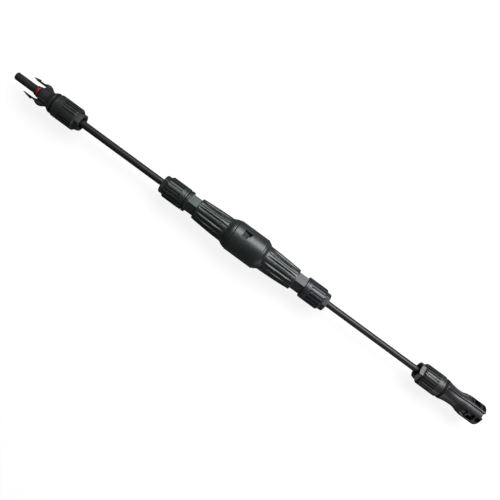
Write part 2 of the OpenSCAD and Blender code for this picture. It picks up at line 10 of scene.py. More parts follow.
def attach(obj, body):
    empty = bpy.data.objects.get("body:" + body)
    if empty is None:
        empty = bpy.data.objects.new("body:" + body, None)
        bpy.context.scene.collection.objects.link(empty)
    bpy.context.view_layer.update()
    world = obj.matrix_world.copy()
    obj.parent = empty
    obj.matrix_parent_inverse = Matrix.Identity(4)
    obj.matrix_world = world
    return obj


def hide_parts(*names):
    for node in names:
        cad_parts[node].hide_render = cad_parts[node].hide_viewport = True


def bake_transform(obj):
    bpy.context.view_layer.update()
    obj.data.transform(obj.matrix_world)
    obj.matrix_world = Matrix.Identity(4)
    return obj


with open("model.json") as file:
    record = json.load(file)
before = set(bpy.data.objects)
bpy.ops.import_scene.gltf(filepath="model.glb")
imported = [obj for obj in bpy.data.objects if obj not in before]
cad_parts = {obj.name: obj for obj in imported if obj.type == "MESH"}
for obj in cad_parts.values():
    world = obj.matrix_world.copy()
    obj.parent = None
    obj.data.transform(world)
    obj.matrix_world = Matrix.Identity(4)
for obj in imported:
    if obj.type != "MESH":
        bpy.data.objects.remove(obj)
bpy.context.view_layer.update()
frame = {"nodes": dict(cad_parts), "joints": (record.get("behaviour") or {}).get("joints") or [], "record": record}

MM = 0.001
TAU = 2 * math.pi
COLUMNS = 384
rad = math.radians

NODES = frame["nodes"]
JOINTS = {j["name"]: j for j in frame["joints"]}
SLOTS = {m["slot"]: m for m in frame["record"]["materials"]}

# Stations along X in mm, from the middle of the collar, as in the CAD
HOLDER_GLAND = 57.3
PLUG_GLAND = 59.7
SOCKET_X = -187.1
PIN_X = 192.1

# Sizes in mm that several pieces share
NUT_LEN = 22.4
NUT_R = 9.3
SOCKET_NUT_LEN = 24.6
SOCKET_NUT_R = 9.6
SPIGOT_R = 7.6
THREAD_PITCH = 1.5
NECK_APOTHEM = 7.4
NUT_APOTHEM = 6.8
FLUTES = 16
FLUTE_START, FLUTE_END = 19.4, 46.9
BARREL_START, BARREL_END = 19.0, 48.0
COLLAR_START, COLLAR_R, COLLAR_BORE = -13, 13.5, 10.75
WINDOW_START, WINDOW_END, WINDOW_WIDTH = -6.35, 0.45, 6.8
LATCH_TURNS = (28, 208)
RING_END = 2.3
SOCKET_ROLL = rad(6)
PIN_ROLL = rad(10)
FINGER_ROOT, FINGER_ROOT_Y, FINGER_ROOT_R = 7.4, 5.9, 0.7
PRONG_END = 27.3
HEAD_R = 9.1
HEAD_END = 39.1
OPENINGS_TURN = rad(48)
OPENING_WIDTH = 7.2


# ---- Outlines: lists of (x, r) in mm ----

def eased(a, b, t):
    return a + (b - a) * (1 - math.cos(math.pi * t)) / 2


def ease(x1, r1, x2, r2, n=10):
    """Points of a half cosine step between two stations, without rounding."""
    return [(x1 + (x2 - x1) * i / n, eased(r1, r2, i / n), 0) for i in range(n + 1)]


def rounded(points, n=4, closed=True):
    """Corners (x, r, fillet) turned into an outline with each corner rounded."""
    out = []
    count = len(points)
    for i, (x, r, f) in enumerate(points):
        here = np.array((x, r), float)
        if f <= 0 or (not closed and i in (0, count - 1)):
            out.append(here)
            continue
        a = np.array(points[i - 1][:2], float) - here
        b = np.array(points[(i + 1) % count][:2], float) - here
        la, lb = np.linalg.norm(a), np.linalg.norm(b)
        a, b = a / la, b / lb
        half = math.acos(np.clip(a @ b, -1, 1)) / 2
        if half > rad(88):
            out.append(here)
            continue
        t = min(f / math.tan(half), 0.48 * la, 0.48 * lb)
        p1, p2 = here + a * t, here + b * t
        mid = a + b
        centre = here + mid / np.linalg.norm(mid) * (t / math.cos(half))
        v1, v2 = p1 - centre, p2 - centre
        sweep = math.acos(np.clip(v1 @ v2 / (v1 @ v1), -1, 1))
        for k in range(n + 1):
            w = k / n
            out.append(centre + (math.sin((1 - w) * sweep) * v1 + math.sin(w * sweep) * v2) / math.sin(sweep))
    return out


def dense(points, step, closed=True):
    """The same outline with no segment longer than step; step may be a function of (x, r)."""
    out = []
    pairs = list(zip(points, points[1:] + ([points[0]] if closed else [])))
    for a, b in pairs:
        length = np.linalg.norm(np.subtract(b, a))
        s = step((a[0] + b[0]) / 2, max(a[1], b[1])) if callable(step) else step
        n = max(1, math.ceil(length / s - 1e-6))
        out.extend(np.array(a) + (np.array(b) - np.array(a)) * k / n for k in range(n))
    if not closed:
        out.append(np.array(points[-1]))
    return np.array(out)


# ---- Meshes ----

def finish_mesh(obj, sharp=38):
    """Outward normals, smooth shading, and sharp edges where faces meet steeply."""
    mesh = obj.data
    bm = bmesh.new()
    bm.from_mesh(mesh)
    bmesh.ops.remove_doubles(bm, verts=bm.verts, dist=1e-7)
    if bm.calc_volume(signed=True) < 0:
        bmesh.ops.reverse_faces(bm, faces=bm.faces)
    bm.to_mesh(mesh)
    bm.free()
    for p in mesh.polygons:
        p.use_smooth = True
    mesh.set_sharp_from_angle(angle=rad(sharp))
    return obj


def mesh_object(name, verts, faces):
    mesh = bpy.data.meshes.new(name)
    mesh.from_pydata([tuple(v) for v in verts], [], faces)
    mesh.update()
    obj = bpy.data.objects.new(name, mesh)
    bpy.context.scene.collection.objects.link(obj)
    return obj


def revolve(name, outline, detail=None, x0=0.0, sign=1, columns=COLUMNS, closed=True, sharp=38, holes=(),
            warp=None):
    """A form turned about X. outline holds (u, r) rows in mm, x is x0 + sign * u, and detail(u, r, phi)
    returns the radius with ribs, flutes and so on; phi is measured from +Z towards +Y.
    Each hole (u1, u2, phi1, phi2, r_min) is cut through the wall and given its own side walls.
    warp(u, r, phi) may shift the columns so that they follow straight edges on a tapering form."""
    outline = np.asarray(outline, float)
    rows = len(outline)
    phi = np.arange(columns) * TAU / columns
    u = np.repeat(outline[:, :1], columns, 1)
    r = np.repeat(outline[:, 1:2], columns, 1)
    p = np.repeat(phi[None, :], rows, 0)
    if warp is not None:
        p = warp(u, r, p)
    if detail is not None:
        r = detail(u, r, p)
    verts = np.stack([x0 + sign * u, r * np.sin(p), r * np.cos(p)], -1).reshape(-1, 3) * MM
    last = rows if closed else rows - 1
    i = np.arange(last)[:, None]
    j = np.arange(columns)[None, :]
    i2, j2 = (i + 1) % rows, (j + 1) % columns
    quads = np.stack([i * columns + j, i * columns + j2, i2 * columns + j2, i2 * columns + j], -1)
    keep = np.ones((last, columns), bool)
    for u1, u2, phi1, phi2, r_min in holes:
        mid_u = (outline[:last, 0] + outline[np.arange(1, last + 1) % rows, 0]) / 2
        row_ok = (mid_u > u1) & (mid_u < u2) & (outline[:last, 1] > r_min)
        mid_p = (phi + TAU / columns / 2) % TAU
        col_ok = ((mid_p - phi1) % TAU) < ((phi2 - phi1) % TAU)
        keep &= ~(row_ok[:, None] & col_ok[None, :])
    obj = mesh_object(name, verts, quads[keep].reshape(-1, 4).tolist())
    if holes:
        bm = bmesh.new()
        bm.from_mesh(obj.data)
        rim = [e for e in bm.edges if e.is_boundary]
        for u1, u2, phi1, phi2, r_min in holes:
            mid = ((phi1 + phi2) / 2) % TAU
            side = Vector((0, math.sin(mid), math.cos(mid)))
            x_mid = (x0 + sign * (u1 + u2) / 2) * MM
            mine = [e for e in rim if all(v.co.dot(side) > 0 and abs(v.co.x - x_mid) < 0.02 for v in e.verts)]
            bmesh.ops.bridge_loops(bm, edges=mine)
        bmesh.ops.delete(bm, geom=[v for v in bm.verts if not v.link_faces], context="VERTS")
        bm.to_mesh(obj.data)
        bm.free()
    return finish_mesh(obj, sharp)


def cutter_box(x1, x2, y1, y2, z1, z2, turn=0.0):
    """A box in mm, turned about X by turn (from +Z towards +Y)."""
    verts = [(x, y, z) for x in (x1, x2) for y in (y1, y2) for z in (z1, z2)]
    faces = [(0, 1, 3, 2), (4, 6, 7, 5), (0, 4, 5, 1), (2, 3, 7, 6), (0, 2, 6, 4), (1, 5, 7, 3)]
    obj = mesh_object("cutter", np.array(verts) * MM, faces)
    obj.data.transform(Matrix.Rotation(-turn, 4, "X"))
    return obj


def hinge_bar(half_length, radius, where, about, turn, columns=48):
    """A round bar at where in mm, first turned a quarter about the named axis, then about X by turn."""
    outline = [(-half_length, 0), (-half_length, radius), (half_length, radius), (half_length, 0)]
    bar = revolve("bar", outline, columns=columns, closed=False)
    bar.data.transform(Matrix.Rotation(-turn, 4, "X") @ Matrix.Translation(Vector(where) * MM)
                       @ Matrix.Rotation(math.pi / 2, 4, about))
    return bar


def combine(obj, others, operation, sharp):
    """Cuts the others from obj or joins them to it, and deletes them."""
    for other in others:
        mod = obj.modifiers.new("combine", "BOOLEAN")
        mod.operation = operation
        mod.solver = "EXACT"
        mod.object = other
    graph = bpy.context.evaluated_depsgraph_get()
    mesh = bpy.data.meshes.new_from_object(obj.evaluated_get(graph))
    obj.modifiers.clear()
    old = obj.data
    obj.data = mesh
    bpy.data.meshes.remove(old)
    for other in others:
        bpy.data.objects.remove(other)
    return finish_mesh(obj, sharp)


def cut(obj, cutters):
    return combine(obj, cutters, "DIFFERENCE", 38)


def unite(obj, other):
    return combine(obj, [other], "UNION", 40)


def smooth(t):
    t = np.clip(t, 0, 1)
    return t * t * (3 - 2 * t)


def wrap(angle):
    """Angles folded into -pi to pi."""
    return (angle + math.pi) % TAU - math.pi


# ---- Surface details, all functions of (u, r, phi) ----

def hexagon(r, phi, apothem, flat_at, corner_cut=0.12):
    """The radius limited to a hexagon with one flat centred at flat_at."""
    a = (phi - flat_at + math.pi / 6) % (math.pi / 3) - math.pi / 6
    hex_r = np.minimum(apothem / np.cos(a), apothem / math.cos(math.pi / 6) - corner_cut)
    return np.minimum(r, hex_r)


def thread(u, r, phi, start, end, sign):
    """A right-hand thread on the spigot; sign is the direction in which u runs along X."""
    turn = (sign * u / THREAD_PITCH + phi / TAU) % 1
    tooth = np.clip(np.abs(turn - 0.5) * 2.9 - 0.35, 0, 1)
    fade = smooth((u - start) / 0.9) * smooth((end - u) / 0.7)
    on = (u > start) & (u < end) & (r > SPIGOT_R - 0.45)
    return np.where(on, r - 0.62 * tooth * fade, r)


def barrel_r(x):
    t = (x - BARREL_START) / (BARREL_END - BARREL_START)
    return 10.75 - 1.6 * max(t, 0) ** 1.7


def flutes(u, r, phi):
    """Straight grooves with pointed ends around a barrel."""
    t = np.clip((u - FLUTE_START) / (FLUTE_END - FLUTE_START), 0, 1)
    depth = 0.98 * np.sin(math.pi * t) ** 0.62
    radius = 1.62
    off = ((phi / TAU * FLUTES) % 1 - 0.5) * TAU / FLUTES * r
    bite = np.sqrt(np.maximum(radius ** 2 - off ** 2, 0)) - (radius - depth)
    on = (u > FLUTE_START) & (u < FLUTE_END) & (r > 8)
    return np.where(on, r - np.maximum(bite, 0), r)


def holder_half_detail(neck_end, spigot_start, spigot_end, sign):
    def detail(u, r, phi):
        r = flutes(u, r, phi)
        neck = (u > BARREL_END - 0.05) & (u < neck_end + 0.05) & (r > 7.7) & (r < 8.7)
        r = np.where(neck, hexagon(r, phi, NECK_APOTHEM, math.pi / 6), r)
        return thread(u, r, phi, spigot_start, spigot_end, sign)
    return detail


def fine_step(*spans, fine=0.14, coarse=0.7, outside=6.6):
    """Row spacing: fine inside the spans, coarse elsewhere, and widest in the bores."""
    return lambda x, r: 2.5 if r < outside else fine if any(a <= x <= b for a, b in spans) else coarse


def barrel_outline(start):
    """The tapering barrel from start up to the neck's shoulder."""
    outline = [(x, barrel_r(x), 0) for x in np.linspace(start, BARREL_END - 0.4, 40)]
    return outline + [(BARREL_END, barrel_r(BARREL_END), 0.3), (BARREL_END, 8.6, 0.15)]


def socket_half():
    """The half with the collar, its two latch windows, the barrel, the hexagon neck and a gland thread."""
    neck_end, spigot_end = 56.9, 67.3
    outer = [(COLLAR_START, 10.95, 0), (COLLAR_START, COLLAR_R, 0.5), (WINDOW_START, COLLAR_R, 0),
             (WINDOW_END, COLLAR_R, 0), (14.2, COLLAR_R, 0.7)]
    outer += ease(14.75, 12.75, 19.0, barrel_r(19.0), 12) + barrel_outline(19.7)
    outer += [(neck_end, 8.6, 0), (neck_end, SPIGOT_R, 0), (spigot_end, SPIGOT_R, 0.35), (spigot_end, 6, 0.2)]
    inner = [(58.6, 6, 0), (58.6, 3.2, 0.2), (45, 3.2, 0.2), (45, 6.5, 0), (12.8, 6.5, 0.3),
             (12.8, COLLAR_BORE, 0.3), (WINDOW_END, COLLAR_BORE, 0), (WINDOW_START, COLLAR_BORE, 0),
             (-12.8, COLLAR_BORE, 0)]
    outline = dense(rounded(outer + inner), fine_step((57.2, 67.3), fine=0.2, coarse=0.95))
    half = math.asin(WINDOW_WIDTH / 2 / COLLAR_R)
    holes = [(WINDOW_START, WINDOW_END, rad(a) - half, rad(a) + half, COLLAR_BORE - 0.05)
             for a in LATCH_TURNS]
    detail = holder_half_detail(neck_end, neck_end + 0.7, spigot_end, 1)
    return revolve("socket_half_shell", outline, detail, holes=holes)


def plug_half():
    """The half with the spigot for the collar, the seal groove, two latch slots and a ring at the neck."""
    neck_end, ring_end, spigot_end = 56.5, 58.8, 69.7
    outer = [(-12.4, 6.5, 0.3), (-12.4, 10.6, 0.5), (-7.3, 10.6, 0.1), (-7.3, 9.3, 0.2), (-5.3, 9.3, 0.2),
             (-5.3, 10.6, 0.1), (13.2, 10.6, 0.15), (13.2, 13.1, 0.35), (14.35, 13.1, 0.3)]
    outer += ease(14.6, 12.7, 20.0, barrel_r(20.0), 12) + barrel_outline(20.7)
    outer += [(neck_end, 8.6, 0.1), (neck_end, 9.15, 0.3), (57.5, 9.15, 0.1), (57.65, 8.9, 0.1),
              (57.85, 8.9, 0.1), (58, 9.15, 0.1), (ring_end, 9.15, 0.3), (ring_end, SPIGOT_R, 0.1),
              (spigot_end, SPIGOT_R, 0.35), (spigot_end, 6, 0.2)]
    inner = [(61, 6, 0), (61, 3.2, 0.2), (45, 3.2, 0.2), (45, 6.5, 0)]
    outline = dense(rounded(outer + inner), fine_step((58.9, 69.7), fine=0.2, coarse=0.95))
    detail = holder_half_detail(neck_end, ring_end + 0.4, spigot_end, -1)
    obj = revolve("plug_half_shell", outline, detail, sign=-1)
    slots = []
    for turn in LATCH_TURNS:
        slots.append(cutter_box(-12.7, -1.3, -3.05, 3.05, 7, 12, rad(turn)))
        slots.append(hinge_bar(3.05, 0.85, (-12.6, 0, 9.65), "Z", rad(turn)))
    return cut(obj, slots)


# ---- Gland nuts ----

def nut(name, x0, sign, length, radius, band, grooves, phase, flat_at, plain=(), bumps=()):
    """A gland nut from its front edge (u = 0) to its mouth. plain lists angle spans with no grooves,
    bumps lists angles of small index marks at the front of the grooves."""
    rib_end = length - 3.9
    depth = 0.95
    pitch = TAU / grooves
    outer = [(0, 7.95, 0.1), (0, radius - 0.05, 0.35), (1.35, radius, 0.12), (1.5, radius - 0.26, 0.08),
             (1.72, radius - 0.26, 0.08), (1.87, radius, 0.12), (band, radius, 0),
             (rib_end - 1.2, radius, 0.5), (rib_end - 0.15, radius - 1.0, 0.3), (rib_end, 8.0, 0.15),
             (length - 0.75, 8.0, 0), (length, 6.95, 0.25), (length, 5.5, 0.3)]
    inner = [(length - 1.4, 4.55, 0.4), (17.2, 4.4, 0.1), (17.2, 5.35, 0.1), (10.6, 6.15, 0.1),
             (10.6, 7.66, 0.1), (0.3, 7.66, 0.1)]

    def detail(u, r, phi):
        off = np.abs(((phi - phase) / pitch + 0.5) % 1 - 0.5) * pitch * radius
        half = pitch * radius * 0.25
        wall = smooth((half - off) / 0.13)
        lead = smooth((u - band) / 0.35)
        for a1, a2 in plain:
            wall = np.where(((phi - a1) % TAU) < (a2 - a1), 0, wall)
        groove = (u > band) & (u < rib_end + 0.02) & (r > 7.9)
        r = np.where(groove, np.minimum(r, radius - depth * wall * lead), r)
        for angle in bumps:
            d2 = (wrap(phi - angle) * radius) ** 2 + (u - band - 0.75) ** 2
            dome = (radius - depth + np.exp(-d2 / 0.14)) * (d2 < 0.9)
            r = np.where(groove, np.maximum(r, dome), r)
        on_hex = (u > rib_end - 0.02) & (r > 5.6)
        return np.where(on_hex, hexagon(r, phi, NUT_APOTHEM, flat_at), r)

    spans = ((band - 0.1, band + 1.5), (rib_end - 1.3, rib_end + 0.1), (length - 0.85, length))
    outline = dense(rounded(outer + inner), fine_step(*spans, fine=0.13, coarse=0.8, outside=5.2))
    return revolve(name, outline, detail, x0=x0, sign=sign)


# ---- Socket coupler ----


def socket_coupler():
    outer = [(-10, 6, 0.2), (-10, SPIGOT_R, 0.35), (RING_END, SPIGOT_R, 0.1), (RING_END, 9.0, 0.2)]
    outer += ease(RING_END + 0.5, 8.95, 7.2, 6.9, 12)
    outer += [(14.2, 6.9, 0.5), (16.9, 4.75, 0.2), (16.9, 3.3, 0), (18.85, 3.3, 0),
              (18.85, 4.15, 0.15), (20.2, 4.1, 0.35), (21.7, 3.3, 0.5), (40.1, 3.3, 0.45), (40.1, 2.32, 0.2)]
    inner = [(39.3, 2.32, 0), (39.3, 2.6, 0), (13.1, 2.6, 0), (13.1, 3.1, 0), (-1.3, 3.1, 0.2), (-1.3, 6, 0)]

    def detail(u, r, phi):
        p = wrap(phi - SOCKET_ROLL)
        a = np.minimum(np.abs(p), math.pi - np.abs(p))          # from the top or the underside
        zone = (u > 2.9) & (u < 14.2) & (r > 6.5)
        off = a * 6.9
        ribs = np.clip(1 - np.abs((off / 1.5) % 1 - 0.5) / 0.2, 0, 1) * (off < 3.6)
        rail = np.clip(1 - np.abs(off - 4.7) / 0.45, 0, 1)
        span = smooth((u - 3.4) / 0.8) * smooth((14.1 - u) / 0.6)
        r = np.where(zone, r + (0.32 * smooth(ribs) + 0.5 * smooth(rail)) * span, r)
        return thread(u, r, phi, -10, 1.0, -1)

    outline = dense(rounded(outer + inner), fine_step((-10, 1.2), fine=0.19, coarse=0.5))
    obj = revolve("socket_coupler_shell", outline, detail, x0=SOCKET_X, sign=-1)
    cutters = []
    for side in (1, -1):
        y1, y2 = sorted((side * 4.2, side * 12))
        cutters.append(cutter_box(SOCKET_X - 23.1, SOCKET_X - 7.05, y1, y2, -3.8, 3.8, SOCKET_ROLL))
        where = (SOCKET_X - FINGER_ROOT, side * FINGER_ROOT_Y, 0)
        cutters.append(hinge_bar(3.8, FINGER_ROOT_R + 0.05, where, "Y", SOCKET_ROLL))
    return cut(obj, cutters)


def finger(name, side):
    """A locking finger: squeeze pad, prong, and a barb at each edge of the prong's tip."""
    pad_top = [(FINGER_ROOT, 6.5), (8.1, 6.9), (9.0, 7.25), (10.4, 8.2), (11.8, 9.1), (13.4, 9.5),
               (14.6, 9.35), (15.8, 8.9), (17.0, 8.3), (18.2, 7.65)]
    under = [(FINGER_ROOT, 5.5), (9.0, 5.6), (14.5, 5.6), (16.0, 6.3), (18.2, 6.55), (26.3, 6.6),
             (PRONG_END, 6.9)]
    stations = np.concatenate([np.arange(FINGER_ROOT, 18.2, 0.2), np.arange(18.2, 21.2, 0.5), [21.2, 21.3],
                               np.arange(21.45, 27.25, 0.35), [PRONG_END]])
    k = 21
    verts, rings = [], []
    for v in stations:
        width = np.interp(v, [FINGER_ROOT, 16.6, 18.2, 26.2, PRONG_END], [3.5, 3.5, 2.8, 2.8, 2.5])
        crown = np.interp(v, [FINGER_ROOT, 9.0, 17.0, 18.2], [0.25, 1.0, 1.0, 0.0])
        top = np.interp(v, [p[0] for p in pad_top], [p[1] for p in pad_top]) if v < 18.2 else 7.6
        top = min(top, np.interp(v, [23.9, PRONG_END], [7.6, 7.3])) if v > 23.9 else top
        grip = sum(math.exp(-((v - g) / 0.17) ** 2) for g in (10.3, 11.5, 12.7, 13.9))
        bottom = np.interp(v, [p[0] for p in under], [p[1] for p in under])
        ring = []
        for z in np.linspace(-1, 1, k) * width:
            edge = max(abs(z) - (width - 0.3), 0)
            y = top - crown * (top - math.sqrt(max(top ** 2 - z ** 2, 1)))
            y -= 0.3 - math.sqrt(max(0.09 - edge ** 2, 0))
            if 8.6 < v < 15.5:
                y -= 0.26 * grip * (abs(z) < width - 0.45)
            barb = np.interp(v, [21.2, 21.3, 22.3, 26.7], [0, 0.8, 0.8, 0])
            if abs(z) > 1.95:
                y += barb * min((abs(z) - 1.95) / 0.12, 1)
            ring.append((v, y, z))
        for z in np.linspace(1, -1, k) * width:
            edge = max(abs(z) - (width - 0.2), 0)
            ring.append((v, bottom + (0.2 - math.sqrt(max(0.04 - edge ** 2, 0))), z))
        rings.append(len(verts))
        verts.extend(ring)
    n = 2 * k
    faces = [(a + i, a + (i + 1) % n, b + (i + 1) % n, b + i)
             for a, b in zip(rings, rings[1:]) for i in range(n)]
    faces += [tuple(range(n))[::-1], tuple(rings[-1] + i for i in range(n))]
    co = np.array(verts)
    # side +1 is the finger on -Y, which is the CAD's own local +Y turned about Z
    co = np.stack([SOCKET_X - co[:, 0], -side * co[:, 1], side * co[:, 2]], -1) * MM
    obj = mesh_object(name, co, faces)
    obj.data.transform(Matrix.Rotation(-SOCKET_ROLL, 4, "X"))
    finish_mesh(obj, 40)
    where = (SOCKET_X - FINGER_ROOT, -side * FINGER_ROOT_Y, 0)
    return unite(obj, hinge_bar(3.5, FINGER_ROOT_R, where, "Y", SOCKET_ROLL, 32))


def gland_ring(name, x0, sign):
    end = RING_END - 0.08
    outline = rounded([(0.08, 7.64, 0.1), (0.08, 8.5, 0.3), (end, 8.5, 0.3), (end, 7.64, 0.1)])
    return revolve(name, dense(outline, 0.5), x0=x0, sign=sign, columns=192)


def o_ring(name, x, ring_r, half_width, half_height):
    """A rubber ring with the faint mould line of the real thing."""
    turn = np.linspace(0, TAU, 33)[:-1]
    flash = 0.025 * np.exp(-(np.sin(turn) / 0.12) ** 2) * (np.cos(turn) > 0)
    outline = np.stack([x + half_width * np.sin(turn), ring_r + half_height * np.cos(turn) + flash], -1)
    return revolve(name, outline, columns=160)


# ---- Pin coupler ----

def pin_coupler():
    outer = [(-10, 6, 0.2), (-10, SPIGOT_R, 0.35), (RING_END, SPIGOT_R, 0.1), (RING_END, 8.8, 0.25)]
    outer += [(RING_END + 0.3 + 11.9 * i / 14, 6.7 + 2.05 * (1 - i / 14) ** 2, 0) for i in range(1, 15)]
    outer += ease(16, 6.7, 26, HEAD_R, 18)
    outer += [(HEAD_END - 1.4, HEAD_R, 0)]
    outer += [(HEAD_END - 1.4 + 1.4 * math.sin(a), HEAD_R - 1.4 * (1 - math.cos(a)), 0)
              for a in np.linspace(0.2, math.pi / 2, 7)]
    outer += [(HEAD_END, 5.6, 0.2)]
    inner = [(HEAD_END - 0.2, 5.4, 0), (37.1, 5.4, 0), (37.1, 4.75, 0.15), (32.1, 4.75, 0.3),
             (31.8, 3.5, 0.3), (13.8, 3.5, 0), (13.8, 2.4, 0), (12, 2.4, 0), (12, 3.2, 0),
             (-1.3, 3.2, 0.2), (-1.3, 6, 0)]
    openings_from = OPENINGS_TURN - math.asin(OPENING_WIDTH / 2 / HEAD_R)
    # offsets from the middle plane that the columns follow: keyway, rails and edges
    lines = (0, 2.05, 2.25, 3.3, 3.8, 4.7, 5.1, 5.5, 6.0, 6.35)

    def warp(u, r, phi):
        p = wrap(phi - PIN_ROLL)
        out = p.copy()
        for i in range(len(u)):
            radius = max(float(r[i, 0]), 6.6)
            a = np.minimum(np.abs(p[i]), math.pi - np.abs(p[i]))
            b = np.interp(a, [math.asin(w / HEAD_R) for w in lines] + [math.pi / 2],
                          [math.asin(w / radius) for w in lines] + [math.pi / 2])
            out[i] = np.sign(p[i]) * np.where(np.abs(p[i]) <= math.pi / 2, b, math.pi - b)
        return out + PIN_ROLL

    def detail(u, r, phi):
        p = wrap(phi - PIN_ROLL)
        a = np.minimum(np.abs(p), math.pi - np.abs(p))
        off = r * np.sin(a)
        body = (u > 1.6) & (u < HEAD_END - 0.01) & (r > 6.2)
        start = smooth((u - RING_END - 0.9) / 0.7)
        floor = np.interp(u, [3.2, 16, 24], [0.8, 0.95, 1.15])
        channel = smooth((2.25 - off) / 0.2) * start
        rail = smooth((off - 2.05) / 0.2) * smooth((3.8 - off) / 0.5) * start
        side_rib = sum(np.clip(1.5 - np.abs(a - rad(at)) / rad(4), 0, 1) for at in (56, 78))
        side_rib = smooth(side_rib) * start * smooth((22.3 - u) / 0.6)
        out = np.where(body, r - floor * channel + 0.35 * rail + 0.42 * side_rib, r)
        # openings: shallow recess, window, pocket
        for u1, u2, level, lowest in ((22.9, 26.2, 7.75, 71), (27.5, 33.0, 6.35, 71), (34.5, 38.1, 6.35, 60)):
            edge = np.minimum(a - openings_from, rad(lowest) - a)
            hole = smooth(edge / rad(0.9)) * smooth((u - u1) / 0.16) * smooth((u2 - u) / 0.16)
            hole = hole * (np.abs(p) < math.pi / 2)
            out = np.where(body, np.minimum(out, out + (level - out) * hole), out)
        notch = (u > HEAD_END - 1.6) & (off < 2.15) & (r > 5.5)
        out = np.where(notch, np.minimum(out, 5.6), out)
        return thread(u, out, phi, -10, 1.0, 1)

    spans = ((-10, 1.2), (22.7, 23.2), (25.9, 26.4), (27.3, 27.8), (32.7, 33.2), (34.3, 34.8), (37.3, 38.6))
    outline = dense(rounded(outer + inner), fine_step(*spans, fine=0.17, coarse=0.5))
    obj = revolve("pin_coupler_shell", outline, detail, x0=PIN_X, warp=warp)
    cutters = []
    for side in (1, -1):
        for u2, y_top in ((HEAD_END + 1, 7.9), (33.0, 8.45)):
            y1, y2 = sorted((side * 6, side * y_top))
            cutters.append(cutter_box(PIN_X + 26.2, PIN_X + u2, y1, y2, -3, 3, PIN_ROLL))
    return cut(obj, cutters)


# ---- Cables ----

def cable_layer(name, x1, x2, r_out, r_in, columns=72, strands=0, swell=0.0, free_from=0.0, free_to=0.0):
    """One layer of a cable between two stations, as rings 0.8 mm apart so that it can bend.
    It is thicker by swell between free_from and free_to, outside the glands."""
    n = max(2, round(abs(x2 - x1) / 0.8))
    xs = np.linspace(x1, x2, n + 1)
    if r_in > 0:
        outline = np.array([(x, r_out) for x in xs] + [(x, r_in) for x in xs[::-1]])
    else:
        outline = np.array([(xs[0], 0)] + [(x, r_out) for x in xs] + [(xs[-1], 0)])

    def detail(u, r, phi):
        if strands:
            lay = np.abs(np.sin((phi + u * 0.22) * strands / 2))
            return np.where(r > 0.5, r - 0.09 * (1 - lay), r)
        wave = 0.012 * np.sin(u * 0.9) * np.sin(u * 0.37 + 1.1) - 0.012
        free = smooth((u - free_from) / 6) * smooth((free_to - u) / 6)
        return np.where(r > r_out - 0.01, r + wave + swell * free, r)

    return revolve(name, outline, detail, columns=columns, closed=r_in > 0)


# layer, material slot, outer and inner radius, and how far it reaches into each gland
LAYERS = (("sheath", "cable_sheath", 2.8, 2.0, 1.0), ("insulation", "cable_insulation", 2.0, 1.3, -3.0),
          ("conductor", "tinned_copper", 1.3, 0, -10.0))
STRANDS = 18


def cable(side, gland_x, hinge_near, hinge_far, coupler_x, root_body, mid_body, end_body, swell):
    """Both halves of one cable, split midway between the cable's two flex points."""
    sign = math.copysign(1, gland_x)
    middle = (hinge_near + hinge_far) / 2
    free_from, free_to = sorted((gland_x + sign * (NUT_LEN - 2), coupler_x - sign * (NUT_LEN - 2)))
    for layer, slot, r_out, r_in, inset in LAYERS:
        more = {"strands": STRANDS if layer == "conductor" else 0, "swell": swell if layer == "sheath" else 0,
                "free_from": free_from, "free_to": free_to}
        near = cable_layer(f"{side}_{layer}_inner_end", gland_x + sign * inset, middle, r_out, r_in, **more)
        far = cable_layer(f"{side}_{layer}_outer_end", middle, coupler_x - sign * inset, r_out, r_in, **more)
        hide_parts(f"{side}_{layer}_near", f"{side}_{layer}_mid")
        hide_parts(f"{side}_{layer}_far")
        for piece, hinge, first, second in ((near, hinge_near, root_body, mid_body),
                                            (far, hinge_far, mid_body, end_body)):
            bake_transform(piece)
            paint(piece, slot)


# ---- Materials ----

made_materials = {}


class Nodes:
    """Short form for building a node tree."""

    def __init__(self, material):
        material.use_nodes = True
        self.tree = material.node_tree
        self.shader = self.tree.nodes["Principled BSDF"]
        coords = self.tree.nodes.new("ShaderNodeTexCoord")
        self.where = coords.outputs["Object"]

    def add(self, kind, inputs=None, **settings):
        node = self.tree.nodes.new(kind)
        for key, value in settings.items():
            setattr(node, key, value)
        for key, value in (inputs or {}).items():
            if hasattr(value, "links"):
                self.tree.links.new(value, node.inputs[key])
            else:
                node.inputs[key].default_value = value
        return node

    def noise(self, scale, detail=3.0, rough=0.55, vector=None):
        inputs = {"Vector": vector or self.where, "Scale": scale, "Detail": detail, "Roughness": rough}
        return self.add("ShaderNodeTexNoise", inputs).outputs["Fac"]

    def remap(self, value, a, b, c, d):
        inputs = {"Value": value, "From Min": a, "From Max": b, "To Min": c, "To Max": d}
        return self.add("ShaderNodeMapRange", inputs).outputs["Result"]

    def mix(self, factor, a, b):
        node = self.add("ShaderNodeMix", data_type="RGBA")
        for key, value in ((0, factor), (6, a), (7, b)):
            if hasattr(value, "links"):
                self.tree.links.new(value, node.inputs[key])
            else:
                node.inputs[key].default_value = value
        return node.outputs[2]

    def maths(self, operation, a, b=0.0):
        node = self.add("ShaderNodeMath", operation=operation)
        for i, value in enumerate((a, b)):
            if hasattr(value, "links"):
                self.tree.links.new(value, node.inputs[i])
            else:
                node.inputs[i].default_value = value
        return node.outputs[0]

    def set(self, key, value):
        if hasattr(value, "links"):
            self.tree.links.new(value, self.shader.inputs[key])
        else:
            self.shader.inputs[key].default_value = value

    def bump(self, height, strength, distance):
        node = self.add("ShaderNodeBump", {"Height": height, "Strength": strength, "Distance": distance})
        self.tree.links.new(node.outputs["Normal"], self.shader.inputs["Normal"])


def tone(colour, factor):
    return tuple(min(c * factor, 1) for c in colour[:3]) + (1,)


